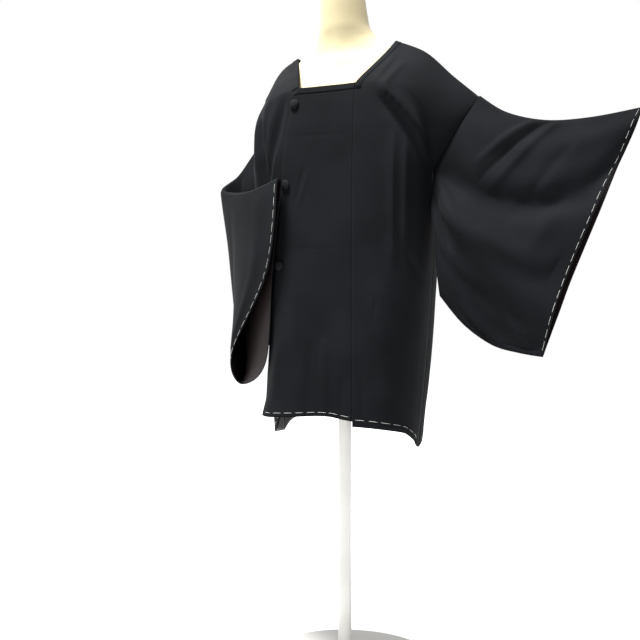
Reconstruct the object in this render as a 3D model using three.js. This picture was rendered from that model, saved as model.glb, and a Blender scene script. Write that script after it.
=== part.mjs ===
// A michiyuki coat, worn open-sleeved on a limbless dress form.
// Millimetres. +Z is up, -Y is the coat's front, +X is the wearer's left. The origin is the centre of
// the stand's underside, on the floor.
import * as THREE from 'three';

// ---- Driving sizes ----
const CLOTH = 2; // the crepe with its lining
const SEAM = 0.3; // gap that stands for a sewn seam
const ARMHOLE_SEAM = 0.6; // the same at the curved armholes
const UNDERLAP = 3.2; // how far the right front lies below the left front that crosses it
const NECK_Z = 1211; // bottom edge of the square neckline
const FRONT_SEAM_X = 62; // half the neckline's bottom edge: the overlap panels are sewn on here
const SQUARENESS = 2.8; // exponent of the body's rounded section
const BAND = 13; // width of the narrow collar band
const BAND_CLOTH = 1.5;
const BAND_INSET = 0.8; // the band stays this far inside the neckline's cut edge
const BAND_GAP = 0.95; // clears the panel's flat facets where the band bends over the shoulder
const BUTTON_RADIUS = 10;
const BUTTON_HEIGHT = 7;
const BUTTON_STANDOFF = 0.6; // clears the curve of the cloth under a button

// ---- The body's section at each height: how far it reaches to each side, forward and back ----
const SECTIONS = [
  { z: 440, left: 160, right: 140, front: 127, back: 112, side: 0 },
  { z: 600, left: 174, right: 150, front: 130, back: 118, side: 0 },
  { z: 780, left: 190, right: 163, front: 131, back: 126, side: -6 },
  { z: 897, left: 199, right: 175, front: 130, back: 134, side: -18 },
  { z: 1040, left: 203, right: 184, front: 126, back: 138, side: -30 },
  { z: 1140, left: 210, right: 190, front: 120, back: 128, side: -24 },
  { z: 1211, left: 214, right: 192, front: 107, back: 114, side: -12 },
  { z: 1340, left: 218, right: 192, front: 66, back: 84, side: -5 },
];

// ---- The shoulder fold from the neck (at 0) to the sleeve seam (at 1), and each side's drops ----
const LEFT = {
  sign: 1,
  ridge: [
    { at: 0, x: 112, y: 2, z: 1318 },
    { at: 0.38, x: 181, y: -13, z: 1283 },
    { at: 0.7, x: 241, y: -22, z: 1226 },
    { at: 1, x: 294, y: -28, z: 1179 },
  ],
  armDrop: 145,
  puff: 13,
};
const RIGHT = {
  sign: -1,
  ridge: [
    { at: 0, x: 108, y: 1, z: 1303 },
    { at: 0.2, x: 141, y: -5, z: 1281 },
    { at: 0.42, x: 164, y: -10, z: 1247 },
    { at: 0.68, x: 181, y: -15, z: 1192 },
    { at: 1, x: 193, y: -19, z: 1112 },
  ],
  armDrop: 215,
  puff: 9,
};
const YOKE = 0.24; // share of a panel's length that lies between the shoulder fold and the armpit
const BODY_ROWS = 44; // from the front hem over the shoulder to the back hem
const BODY_COLUMNS = 12;
const YOKE_STEPS = 10; // rows between the shoulder fold and the armpit
const YOKE_ROWS = (YOKE_STEPS * 2) / BODY_ROWS;
const BACK_NECK_DROP = 24; // the back neckline below the shoulder fold

// ---- Hem height of each front, by x ----
const LEFT_HEM = [
  { x: 62, z: 524 },
  { x: 95, z: 519 },
  { x: 135, z: 509 },
  { x: 158, z: 492 },
  { x: 170, z: 474 },
];
const RIGHT_HEM = [
  { x: 62, z: 550 },
  { x: 80, z: 547 },
  { x: 94, z: 514 },
  { x: 106, z: 502 },
  { x: 141, z: 496 },
];
const OVERLAP_HEM = [
  { x: -130, z: 548 },
  { x: -95, z: 541 },
  { x: -50, z: 541 },
  { x: 20, z: 543 },
  { x: 62, z: 535 },
];
const BACK_HEM_Z = 522; // at the centre back; it falls to the front's hem towards the sides
const BACK_HEM_FALL = { left: 2, right: 9 }; // how late it falls: the right corner droops by itself

// ---- The crossing edge of the left front hangs free, less round than the body behind it ----
const CROSSING_EDGE = [
  { z: 541, x: -138, y: -118 },
  { z: 575, x: -131, y: -115 },
  { z: 645, x: -127, y: -113 },
  { z: 775, x: -116, y: -117 },
  { z: 905, x: -102, y: -120 },
  { z: 1025, x: -92, y: -123 },
  { z: 1130, x: -82, y: -120 },
  { z: 1168, x: -75, y: -115 },
  { z: 1190, x: -79, y: -110 },
  { z: 1211, x: -70, y: -106 },
];
const BUTTON_HEIGHTS = [1178, 1013, 849];

// ---- Folds that stand out from the body: centre line by x and z, height, half width ----
const BODY_FOLDS = [
  { side: 1, x: 141, top: 1100, low: 845, height: 5, width: 11 },
  { side: 1, x: 164, top: 1090, low: 880, height: 4, width: 9 },
  { side: 1, x: 120, top: 820, low: 540, height: 4, width: 22 },
  { side: -1, x: 118, top: 1175, low: 1035, height: 7, width: 12 },
  { side: -1, x: 158, top: 1190, low: 1040, height: 8, width: 13 },
];
const OVERHANG = [
  { x: 84, z: 1212 },
  { x: 125, z: 1178 },
  { x: 155, z: 1144 },
  { x: 178, z: 1106 },
  { x: 206, z: 1046 },
];
const OVERHANG_HEIGHT = 14;
const OVERHANG_REACH = 62;
const OVERHANG_LIP = { under: -9, over: 7 }; // how sharply its lower edge stands up
const OVERHANG_SPAN = { from: 92, full: 128, fading: 176, to: 206 }; // by x
const FOLD_FADE = 40; // over which a fold dies away at its ends
const FOLD_TOP_FADE = 30;
const SIDE_PART = 5; // how far the front and back spring apart below the sleeve

// ---- Sleeves: rings of six points from the armhole (at 0) to the cuff (at 1) ----
// top is the shoulder fold, low the bottom fold, front and outer lie on the front layer, inner and
// back on the back layer. The right sleeve bends forward past its turn, so from there its back layer
// is the one that faces away from the body.
const LEFT_SLEEVE = [
  { at: 0, top: [294, -28, 1179], front: [204, -36, 1034], outer: [213, -66, 900],
    low: [222, -52, 785], inner: [214, -34, 900], back: [204, -24, 1034] },
  { at: 0.22, top: [350, -43, 1139], front: [278, -80, 985], outer: [268, -88, 832],
    low: [272, -64, 729], inner: [270, -40, 838], back: [276, -34, 985] },
  { at: 0.48, top: [427, -54, 1115], front: [362, -92, 960], outer: [338, -104, 800],
    low: [330, -78, 690], inner: [340, -52, 800], back: [366, -44, 960] },
  { at: 0.74, top: [512, -63, 1112], front: [440, -102, 955], outer: [398, -114, 792],
    low: [382, -92, 676], inner: [400, -66, 792], back: [442, -54, 955] },
  { at: 1, top: [604, -68, 1122], front: [533, -98, 958], outer: [468, -114, 795],
    low: [430, -104, 669], inner: [472, -80, 795], back: [536, -62, 958] },
];
const RIGHT_SLEEVE = [
  { at: 0, swell: 0, top: [-193, -19, 1112], front: [-177, -28, 896], outer: [-182, -42, 765],
    low: [-184, -12, 660], inner: [-181, 6, 765], back: [-177, -16, 896] },
  { at: 0.2, swell: 34, top: [-238, -24, 1056], front: [-208, -40, 890], outer: [-206, -44, 755],
    low: [-204, -14, 636], inner: [-202, 4, 760], back: [-204, -8, 890] },
  { at: 0.38, swell: 50, top: [-272, -42, 1025], front: [-224, -54, 862], outer: [-216, -54, 730],
    low: [-224, -8, 622], inner: [-237, -24, 732], back: [-250, -38, 856] },
  { at: 0.58, swell: 34, top: [-232, -68, 1010], front: [-202, -70, 856], outer: [-204, -66, 700],
    low: [-231, -24, 612], inner: [-237, -50, 706], back: [-232, -78, 850] },
  { at: 0.78, swell: 0, top: [-172, -98, 1006], front: [-168, -92, 850], outer: [-172, -86, 672],
    low: [-229, -38, 604], inner: [-235, -66, 690], back: [-184, -108, 846] },
  { at: 1, swell: 0, top: [-86, -146, 1022], front: [-108, -135, 840], outer: [-128, -125, 650],
    low: [-220, -52, 599], inner: [-228, -78, 664], back: [-111, -149, 836] },
];
const LEFT_SLEEVE_STEPS = 16; // rings from armhole to cuff
const RIGHT_SLEEVE_STEPS = 20; // more, for its sharp turn
const LEFT_SLEEVE_ROUND = 46; // points round a ring
const RIGHT_SLEEVE_ROUND = 34;
const SLEEVE_CLEARANCE = 4.2; // between a hanging sleeve and the body's side
// The right sleeve swings out behind the arm by its swell, more so towards the bottom fold.
const SWELL_WAY = { x: -0.375, y: 0.927 };
const TOP_SWELL = 0.4;
const LOW_SWELL = 1.2;
const FOLD_DENSITY = 0.6; // how much closer the right sleeve's points lie at its top and bottom folds
const FOLD_RADIUS = 5; // opens the right sleeve's top fold, which turns sharply forward
// Soft folds that sag across the spread sleeve: where they run round the ring at the armhole, the
// middle and the cuff, how wide they are and how far they stand out.
const SWAGS = [
  { start: 0.13, middle: 0.19, end: 0.11, across: 0.032, height: -13 },
  { start: 0.18, middle: 0.3, end: 0.38, across: 0.034, height: 9 },
  { start: 0.32, middle: 0.42, end: 0.46, across: 0.026, height: -5 },
  { start: 0.04, middle: 0.08, end: 0.05, across: 0.022, height: 5 },
];

// ---- The form, its pole and its plate ----
const FORM_RINGS = [
  { z: 640, wide: 112, front: 82, back: 84, y: 0, power: 2.2 },
  { z: 720, wide: 132, front: 98, back: 102, y: 0, power: 2.2 },
  { z: 800, wide: 136, front: 102, back: 106, y: 0, power: 2.1 },
  { z: 940, wide: 116, front: 88, back: 88, y: -2, power: 2 },
  { z: 1040, wide: 130, front: 96, back: 92, y: -4, power: 2 },
  { z: 1120, wide: 150, front: 94, back: 96, y: -6, power: 2 },
  { z: 1180, wide: 158, front: 82, back: 92, y: -6, power: 1.9 },
  { z: 1222, wide: 156, front: 66, back: 80, y: -6, power: 1.7 },
  { z: 1252, wide: 142, front: 54, back: 68, y: -6, power: 1.5 },
  { z: 1276, wide: 126, front: 47.5, back: 58, y: -5, power: 1.4 },
  { z: 1298, wide: 105.5, front: 44, back: 52, y: -2, power: 1.4 },
  { z: 1322, wide: 74, front: 44, back: 50, y: -3, power: 1.6 },
  { z: 1348, wide: 57, front: 46, back: 48, y: -7, power: 1.9 },
  { z: 1390, wide: 51, front: 47, back: 47, y: -14, power: 2 },
  { z: 1450, wide: 47, front: 46, back: 46, y: -26, power: 2 },
];
const FORM_ROUND = 32;
const SHOULDER_TILT = 0.066; // rise of the form's shoulders towards the wearer's left
const POLE_RADIUS = 14;
const PLATE_RADIUS = 200;
const PLATE_HEIGHT = 14;

// ---- Colours ----
const BLACK_CREPE = new THREE.MeshStandardMaterial({ color: 0x26282b, roughness: 0.9 });
const CREAM_JERSEY = new THREE.MeshStandardMaterial({ color: 0xe8d9a8, roughness: 0.8 });
const PALE_PAINT = new THREE.MeshStandardMaterial({ color: 0xd8d6d0, roughness: 0.4, metalness: 0.2 });

const mix = (a, b, t) => a + (b - a) * t;
const clamp01 = (t) => Math.min(1, Math.max(0, t));
const smooth = (from, to, value) => {
  const t = clamp01((value - from) / (to - from));
  return t * t * (3 - 2 * t);
};

// Catmull-Rom through four values, at t between the middle two.
function cubic(a, b, c, d, t) {
  const m0 = (c - a) / 2;
  const m1 = (d - b) / 2;
  const t2 = t * t;
  const t3 = t2 * t;
  return (2 * t3 - 3 * t2 + 1) * b + (t3 - 2 * t2 + t) * m0 + (3 * t2 - 2 * t3) * c + (t3 - t2) * m1;
}

// Reads a table's column at a key, smoothly between its rows, in rising order of the key.
function read(table, key, at, column) {
  const last = table.length - 1;
  const place = Math.min(table[last][key], Math.max(table[0][key], at));
  let i = 0;
  while (i < last - 1 && place > table[i + 1][key]) i += 1;
  const t = (place - table[i][key]) / (table[i + 1][key] - table[i][key]);
  const row = (j) => table[Math.min(last, Math.max(0, j))][column];
  if (typeof row(i) === 'number') return cubic(row(i - 1), row(i), row(i + 1), row(i + 2), t);
  return row(i).map((_, c) => cubic(row(i - 1)[c], row(i)[c], row(i + 1)[c], row(i + 2)[c], t));
}

// ---- The body cloth ----
// A point of the worn section at height z. turn runs from 0 at the centre to 90 degrees at the side.
function sectionPoint(side, z, turn, face) {
  const wide = read(SECTIONS, 'z', z, side.sign > 0 ? 'left' : 'right');
  const sideY = read(SECTIONS, 'z', z, 'side');
  const deep = read(SECTIONS, 'z', z, face < 0 ? 'front' : 'back');
  const x = side.sign * wide * Math.sin(turn) ** (2 / SQUARENESS);
  const y = sideY + (face * deep - sideY) * Math.max(0, Math.cos(turn)) ** (2 / SQUARENESS);
  return new THREE.Vector3(x, y, z);
}

// The turn at which the section passes a given x.
function turnAt(side, z, x) {
  const wide = read(SECTIONS, 'z', z, side.sign > 0 ? 'left' : 'right');
  return Math.asin(clamp01(Math.abs(x) / wide) ** (SQUARENESS / 2));
}

// How far the cloth stands out from the section, in folds, at a place on the front.
function foldHeight(side, x, z) {
  let height = 0;
  for (const fold of BODY_FOLDS) {
    if (fold.side !== side.sign) continue;
    const across = (Math.abs(x) - fold.x) / fold.width;
    const along = smooth(fold.low - FOLD_FADE, fold.low + FOLD_FADE, z)
      * (1 - smooth(fold.top - FOLD_FADE, fold.top + FOLD_TOP_FADE, z));
    height += fold.height * Math.exp(-across * across) * along;
  }
  if (side.sign > 0) {
    const above = z - read(OVERHANG, 'x', x, 'z');
    const along = smooth(OVERHANG_SPAN.from, OVERHANG_SPAN.full, x)
      * (1 - smooth(OVERHANG_SPAN.fading, OVERHANG_SPAN.to, x));
    const rise = smooth(OVERHANG_LIP.under, OVERHANG_LIP.over, above)
      * (1 - smooth(OVERHANG_LIP.over, OVERHANG_REACH, above));
    height += OVERHANG_HEIGHT * rise * along;
  }
  return height;
}

// One length of cloth hangs over the shoulder, front and back. u runs from the inner edge to the side,
// k from the shoulder fold to the hem, face is -1 in front and 1 behind.
function bodyPoint(side, u, k, face) {
  const ridge = new THREE.Vector3(
    side.sign * read(side.ridge, 'at', u, 'x'),
    read(side.ridge, 'at', u, 'y'),
    read(side.ridge, 'at', u, 'z'),
  );
  const neckDrop = face < 0 ? ridge.z - NECK_Z : BACK_NECK_DROP;
  const innerDrop = mix(neckDrop, side.armDrop, smooth(0, 1, u));
  const yokeZ = ridge.z - (face < 0 ? mix(neckDrop, side.armDrop, u ** 1.5) : innerDrop);
  const hem = side.sign > 0 ? LEFT_HEM : RIGHT_HEM;
  const sideHem = hem[hem.length - 1];
  const backFall = side.sign > 0 ? BACK_HEM_FALL.left : BACK_HEM_FALL.right;
  const frontHemZ = read(hem, 'x', mix(FRONT_SEAM_X, sideHem.x, u), 'z');
  const hemZ = face < 0 ? frontHemZ : mix(BACK_HEM_Z, sideHem.z, u ** backFall);
  const inYoke = clamp01(k / YOKE);
  const z = k < YOKE ? mix(ridge.z, yokeZ, inYoke) : mix(yokeZ, hemZ, (k - YOKE) / (1 - YOKE));
  const innerTurn = face < 0 ? turnAt(side, z, FRONT_SEAM_X) : 0;
  const below = sectionPoint(side, z, mix(innerTurn, Math.PI / 2, u), face);
  const round = Math.sqrt(1 - (1 - inYoke) ** 2);
  const late = 1 - Math.sqrt(1 - inYoke ** 2);
  const spread = 1 - (1 - u) ** 2;
  const goX = face < 0 ? inYoke : mix(late, inYoke, spread);
  const goY = face < 0 ? 1 - (1 - inYoke) ** mix(1.2, 1.5, smooth(0, 0.3, u)) : mix(round, inYoke, spread);
  const puff = face * side.puff * Math.sin(Math.PI * inYoke) * smooth(0.35, 1, u);
  const part = face * SIDE_PART * smooth(YOKE + 0.06, YOKE, k) * inYoke * smooth(0.6, 1, u);
  const point = new THREE.Vector3(mix(ridge.x, below.x, goX), mix(ridge.y, below.y, goY) + puff + part, z);
  if (face < 0) {
    const stand = foldHeight(side, Math.abs(point.x), z) * smooth(0, 0.5, inYoke);
    const turn = mix(innerTurn, Math.PI / 2, u);
    point.x += side.sign * stand * Math.sin(turn);
    point.y -= stand * Math.cos(turn) ** 0.5;
  }
  return point;
}

// The right front lies under the left one, so it sinks from the side towards the centre.
function bodyFrontDepth(side, u, k) {
  if (side.sign > 0) return 0;
  return UNDERLAP * (1 - smooth(0.45, 0.95, u)) * smooth(YOKE * 0.5, YOKE * 0.9, k);
}

// A point of the crossing panel. u runs from its seam to its free edge, v from the neckline down.
function overlapPoint(u, v) {
  const topZ = NECK_Z - 1.5 * Math.sin(Math.PI * u) - 9 * smooth(0.9, 1, u);
  const guessX = mix(FRONT_SEAM_X, -100, u);
  const z = mix(topZ, read(OVERLAP_HEM, 'x', guessX, 'z'), v);
  const edge = (column) => read(CROSSING_EDGE, 'z', z, column);
  const x = mix(FRONT_SEAM_X - SEAM, edge('x'), u);
  const side = x > 0 ? LEFT : RIGHT;
  const point = sectionPoint(side, z, turnAt(side, z, x), -1);
  point.x = x;
  const edgeBody = sectionPoint(RIGHT, z, turnAt(RIGHT, z, edge('x')), -1);
  point.y += (edge('y') - edgeBody.y) * smooth(0.3, 1, u);
  return point;
}

// The right front's overlap panel, hidden under the left one.
function underlapPoint(u, v) {
  const z = mix(NECK_Z, 550, v);
  const x = mix(-FRONT_SEAM_X + SEAM, FRONT_SEAM_X - 14, u);
  const side = x > 0 ? LEFT : RIGHT;
  const point = sectionPoint(side, z, turnAt(side, z, x), -1);
  point.x = x;
  point.y += UNDERLAP;
  return point;
}

// ---- Walls from grids of points ----
// Each grid row holds points; the wall lies inside the grid's outer side by the cloth's thickness.
function gridNormals(grid, closed) {
  const rows = grid.length;
  const columns = grid[0].length;
  const at = (i, j) => {
    const row = Math.min(rows - 1, Math.max(0, i));
    const column = closed ? (j + columns) % columns : Math.min(columns - 1, Math.max(0, j));
    return grid[row][column];
  };
  return grid.map((line, i) => line.map((_, j) => {
    const down = at(i + 1, j).clone().sub(at(i - 1, j));
    const across = at(i, j + 1).clone().sub(at(i, j - 1));
    return across.cross(down).normalize();
  }));
}

function wall(grid, { thick = CLOTH, lift = 0, closed = false, flip = false } = {}) {
  const normals = gridNormals(grid, closed);
  const rows = grid.length;
  const columns = grid[0].length;
  const turn = flip ? -1 : 1;
  const positions = [];
  for (const layer of [lift, lift - thick]) {
    for (let i = 0; i < rows; i += 1) {
      for (let j = 0; j < columns; j += 1) {
        const point = grid[i][j].clone().addScaledVector(normals[i][j], layer * turn);
        positions.push(point.x, point.y, point.z);
      }
    }
  }
  const outer = (i, j) => i * columns + (j % columns);
  const inner = (i, j) => rows * columns + outer(i, j);
  const faces = [];
  const quad = (a, b, c, d) => {
    if (flip) faces.push(a, c, b, a, d, c);
    else faces.push(a, b, c, a, c, d);
  };
  const lastColumn = closed ? columns : columns - 1;
  for (let i = 0; i < rows - 1; i += 1) {
    for (let j = 0; j < lastColumn; j += 1) {
      quad(outer(i, j), outer(i, j + 1), outer(i + 1, j + 1), outer(i + 1, j));
      quad(inner(i, j), inner(i + 1, j), inner(i + 1, j + 1), inner(i, j + 1));
    }
  }
  for (let j = 0; j < lastColumn; j += 1) {
    quad(outer(0, j), inner(0, j), inner(0, j + 1), outer(0, j + 1));
    quad(outer(rows - 1, j), outer(rows - 1, j + 1), inner(rows - 1, j + 1), inner(rows - 1, j));
  }
  if (!closed) {
    for (let i = 0; i < rows - 1; i += 1) {
      quad(outer(i, 0), outer(i + 1, 0), inner(i + 1, 0), inner(i, 0));
      const end = columns - 1;
      quad(outer(i, end), inner(i, end), inner(i + 1, end), outer(i + 1, end));
    }
  }
  const geometry = new THREE.BufferGeometry();
  geometry.setAttribute('position', new THREE.Float32BufferAttribute(positions, 3));
  geometry.setIndex(faces);
  return geometry;
}

function gridOf(rows, columns, place) {
  const grid = [];
  for (let i = 0; i <= rows; i += 1) {
    const line = [];
    for (let j = 0; j <= columns; j += 1) line.push(place(i / rows, j / columns));
    grid.push(line);
  }
  return grid;
}

const coat = new THREE.Group();

function addMesh(name, geometry, material) {
  const mesh = new THREE.Mesh(geometry, material.clone());
  mesh.name = name;
  coat.add(mesh);
  return mesh;
}

// ---- Body lengths: front hem, over the shoulder, back hem ----
// The rows lie closer together over the shoulder than down the skirt.
function rowShare(t) {
  const share = Math.abs(t) / YOKE_ROWS;
  return share < 1 ? share ** 1.25 * YOKE : mix(YOKE, 1, (Math.abs(t) - YOKE_ROWS) / (1 - YOKE_ROWS));
}

function bodySurface(side, t, u) {
  const face = t < 0 ? -1 : 1;
  const k = rowShare(t);
  const point = bodyPoint(side, u, k, face);
  const edge = smooth(YOKE, YOKE + 0.02, k) * SEAM / 2;
  const inner = (1 - smooth(0, 0.02, u)) * smooth(YOKE * 0.98, YOKE, k) * SEAM / 2;
  const outer = smooth(0.98, 1, u) * edge;
  point.x += side.sign * inner;
  point.y += face < 0 ? bodyFrontDepth(side, u, k) - outer : outer;
  return point;
}

const bodyGrids = {};
for (const [name, side] of [['body_left', LEFT], ['body_right', RIGHT]]) {
  bodyGrids[name] = gridOf(BODY_ROWS, BODY_COLUMNS, (i, j) => bodySurface(side, i * 2 - 1, j));
  addMesh(name, wall(bodyGrids[name], { flip: side.sign < 0 }), BLACK_CREPE);
}

// ---- Overlap panels ----
const crossing = gridOf(22, 9, (i, j) => overlapPoint(j, i));
addMesh('overlap_left', wall(crossing), BLACK_CREPE);
const crossed = gridOf(18, 7, (i, j) => underlapPoint(j, i));
addMesh('overlap_right', wall(crossed, { flip: true }), BLACK_CREPE);

// ---- Collar band and buttons, laid on the panels ----
// Walks a distance over a surface from one of its points, in a direction given in space.
function walk(surface, start, direction, distance) {
  const steps = 4;
  const nudge = 4e-3;
  let [t, u] = start;
  for (let i = 0; i < steps; i += 1) {
    const here = surface(t, u);
    const alongT = surface(t + nudge, u).sub(here).divideScalar(nudge);
    const alongU = surface(t, u + nudge).sub(here).divideScalar(nudge);
    const step = direction.clone().multiplyScalar(distance / steps);
    const [tt, tu, uu] = [alongT.dot(alongT), alongT.dot(alongU), alongU.dot(alongU)];
    const [st, su] = [alongT.dot(step), alongU.dot(step)];
    const whole = tt * uu - tu * tu;
    t += (st * uu - su * tu) / whole;
    u += (su * tt - st * tu) / whole;
  }
  return surface(t, u);
}

// A point on a panel's own flat facets, each cell being split along the same diagonal as in wall().
function facetPoint(grid, t, u) {
  const row = clamp01((t + 1) / 2) * BODY_ROWS;
  const column = clamp01(u) * BODY_COLUMNS;
  const i = Math.min(BODY_ROWS - 1, Math.floor(row));
  const j = Math.min(BODY_COLUMNS - 1, Math.floor(column));
  const [down, across] = [row - i, column - j];
  const [a, b, c, d] = [grid[i][j], grid[i][j + 1], grid[i + 1][j + 1], grid[i + 1][j]];
  const point = a.clone();
  if (across > down) {
    return point.addScaledVector(b.clone().sub(a), across).addScaledVector(c.clone().sub(b), down);
  }
  return point.addScaledVector(d.clone().sub(a), down).addScaledVector(c.clone().sub(d), across);
}

// A band along the neckline, with a row on each of the panel's rows. On the shoulder fold, which the
// panel creases along, the band's row keeps to the fold; elsewhere it stands square to the edge.
function collarGrid(grid, rows) {
  const surface = (t, u) => facetPoint(grid, t, u);
  const [from, to] = [rows[0], rows[rows.length - 1]];
  return rows.map((t) => {
    const along = surface(Math.min(to, t + 0.012), 0).sub(surface(Math.max(from, t - 0.012), 0)).normalize();
    const direction = surface(t, 0.05).sub(surface(t, 0));
    if (t !== 0) direction.addScaledVector(along, -direction.dot(along));
    direction.normalize();
    return [BAND_INSET, BAND].map((distance) => walk(surface, [t, 0], direction, distance));
  });
}

const bandRows = [];
for (let step = 1 - YOKE_STEPS; step <= YOKE_STEPS; step += 1) bandRows.push((step * 2) / BODY_ROWS);
const cornerRow = YOKE_ROWS + BAND / (NECK_Z - LEFT_HEM[0].z) * (1 - YOKE_ROWS);
const leftRows = [-cornerRow, -YOKE_ROWS, ...bandRows];
const rightRows = [-YOKE_ROWS * 0.98, ...bandRows];
const bandWall = { thick: BAND_CLOTH, lift: BAND_CLOTH + BAND_GAP };
const rightBandWall = { ...bandWall, flip: true };
addMesh('collar_left', wall(collarGrid(bodyGrids.body_left, leftRows), bandWall), BLACK_CREPE);
addMesh('collar_right', wall(collarGrid(bodyGrids.body_right, rightRows), rightBandWall), BLACK_CREPE);
const bandDown = BAND / (NECK_Z - OVERLAP_HEM[3].z);
const collarFront = gridOf(2, 9, (i, j) => overlapPoint(mix(0.006, 0.94, j), bandDown * mix(0.06, 1, i)));
addMesh('collar_front', wall(collarFront, bandWall), BLACK_CREPE);

const buttonProfile = [
  [0, 0],
  [BUTTON_RADIUS * 0.82, 0],
  [BUTTON_RADIUS, BUTTON_HEIGHT * 0.3],
  [BUTTON_RADIUS * 0.92, BUTTON_HEIGHT * 0.62],
  [BUTTON_RADIUS * 0.6, BUTTON_HEIGHT * 0.92],
  [0, BUTTON_HEIGHT],
].map(([radius, height]) => new THREE.Vector2(radius, height));
BUTTON_HEIGHTS.forEach((z, i) => {
  const v = (NECK_Z - z) / (NECK_Z - 541);
  const place = overlapPoint(0.93, v);
  const across = overlapPoint(0.97, v).sub(overlapPoint(0.89, v));
  const down = overlapPoint(0.93, v + 0.01).sub(overlapPoint(0.93, v - 0.01));
  const out = across.cross(down).normalize();
  const button = addMesh(`button_${i + 1}`, new THREE.LatheGeometry(buttonProfile, 16), BLACK_CREPE);
  button.quaternion.setFromUnitVectors(new THREE.Vector3(0, 1, 0), out);
  button.position.copy(place.addScaledVector(out, BUTTON_STANDOFF));
});

// ---- Sleeves ----
function closedRing(points, round) {
  const count = points.length;
  const place = round * count;
  const i = Math.floor(place) % count;
  const p = (j) => points[(j + count) % count];
  const t = place - Math.floor(place);
  const value = (c) => cubic(p(i - 1)[c], p(i)[c], p(i + 1)[c], p(i + 2)[c], t);
  return new THREE.Vector3(value(0), value(1), value(2));
}

function swagHeight(at, round) {
  let height = 0;
  for (const swag of SWAGS) {
    const straight = mix(swag.start, swag.end, at);
    const sag = (swag.middle - (swag.start + swag.end) / 2) * 4 * at * (1 - at);
    const across = (round - straight - sag) / swag.across;
    height += swag.height * Math.exp(-across * across);
  }
  return height * smooth(0, 0.2, at) * smooth(0, 0.04, round) * smooth(0.5, 0.44, round);
}

// How far the cloth beside the right sleeve's top fold stands off it, past the armhole.
function foldOpening(table, at, round) {
  const front = read(table, 'at', at, 'front');
  const back = read(table, 'at', at, 'back');
  const across = new THREE.Vector3(front[0] - back[0], front[1] - back[1], 0).normalize();
  const near = Math.min(round, 1 - round);
  const open = smooth(0, 0.02, near) * (1 - smooth(0.03, 0.14, near)) * smooth(0.2, 0.35, at);
  return across.multiplyScalar(FOLD_RADIUS * open * (round < 0.5 ? 1 : -1));
}

// round runs from the shoulder fold down the front layer to the bottom fold (0.5) and up the back.
function sleevePoint(table, side, at, round) {
  const columns = ['top', 'front', 'outer', 'low', 'inner', 'back'];
  const ring = (place) => columns.map((column) => read(table, 'at', place, column));
  const point = closedRing(ring(at), round);
  const armhole = round < 1 / 6 ? round * 6 : (1 - round) * 6;
  if (armhole <= 1) {
    const face = round < 1 / 6 ? -1 : 1;
    const edge = bodyPoint(side, 1, YOKE * armhole, face);
    edge.x += side.sign * ARMHOLE_SEAM;
    edge.y += face * 0.4;
    edge.sub(closedRing(ring(0), round));
    point.addScaledVector(edge, 1 - smooth(0, 0.3, at));
  } else if (at < 0.3) {
    const wide = read(SECTIONS, 'z', point.z, side.sign > 0 ? 'left' : 'right');
    point.x = side.sign * Math.max(side.sign * point.x, wide + SLEEVE_CLEARANCE);
  }
  if (side.sign < 0) {
    const swell = read(table, 'at', at, 'swell') * smooth(0.04, 0.24, at)
      * (TOP_SWELL + LOW_SWELL * Math.sin(Math.PI * round));
    point.x += SWELL_WAY.x * swell;
    point.y += SWELL_WAY.y * swell;
    point.add(foldOpening(table, at, round));
  }
  if (side.sign > 0) {
    const face = round < 0.5 ? -1 : 1;
    point.y += face * swagHeight(at, Math.min(round, 1 - round)) * (face < 0 ? 1 : 0.6);
  }
  return point;
}

function sleeveGrid(table, side, steps, points) {
  return gridOf(steps, points - 1, (i, j) => {
    const round = (j * (points - 1)) / points;
    const closer = side.sign < 0 ? (FOLD_DENSITY * Math.sin(4 * Math.PI * round)) / (4 * Math.PI) : 0;
    return sleevePoint(table, side, i, round - closer);
  });
}

const leftSleeve = sleeveGrid(LEFT_SLEEVE, LEFT, LEFT_SLEEVE_STEPS, LEFT_SLEEVE_ROUND);
const rightSleeve = sleeveGrid(RIGHT_SLEEVE, RIGHT, RIGHT_SLEEVE_STEPS, RIGHT_SLEEVE_ROUND);
addMesh('sleeve_left', wall(leftSleeve, { closed: true, flip: true }), BLACK_CREPE);
addMesh('sleeve_right', wall(rightSleeve, { closed: true }), BLACK_CREPE);

// ---- The form and its stand ----
function formRing(z) {
  const line = [];
  for (let j = 0; j < FORM_ROUND; j += 1) {
    const turn = (j / FORM_ROUND) * Math.PI * 2;
    const wide = read(FORM_RINGS, 'z', z, 'wide');
    const deep = read(FORM_RINGS, 'z', z, Math.sin(turn) < 0 ? 'front' : 'back');
    const power = 2 / read(FORM_RINGS, 'z', z, 'power');
    const x = wide * Math.sign(Math.cos(turn)) * Math.abs(Math.cos(turn)) ** power;
    const y = deep * Math.sign(Math.sin(turn)) * Math.abs(Math.sin(turn)) ** power;
    const rise = SHOULDER_TILT * x * smooth(1120, 1290, z) * (1 - smooth(1340, 1420, z));
    line.push(new THREE.Vector3(x, y + read(FORM_RINGS, 'z', z, 'y'), z + rise));
  }
  return line;
}

function solidFromRings(rings) {
  const positions = [];
  const faces = [];
  const count = rings[0].length;
  for (const line of rings) for (const p of line) positions.push(p.x, p.y, p.z);
  for (let i = 0; i < rings.length - 1; i += 1) {
    for (let j = 0; j < count; j += 1) {
      const a = i * count + j;
      const b = i * count + ((j + 1) % count);
      faces.push(a, b, b + count, a, b + count, a + count);
    }
  }
  for (const [row, up] of [[0, false], [rings.length - 1, true]]) {
    for (let j = 1; j < count - 1; j += 1) {
      const a = row * count;
      if (up) faces.push(a, a + j, a + j + 1);
      else faces.push(a, a + j + 1, a + j);
    }
  }
  const geometry = new THREE.BufferGeometry();
  geometry.setAttribute('position', new THREE.Float32BufferAttribute(positions, 3));
  geometry.setIndex(faces);
  return geometry;
}

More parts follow.
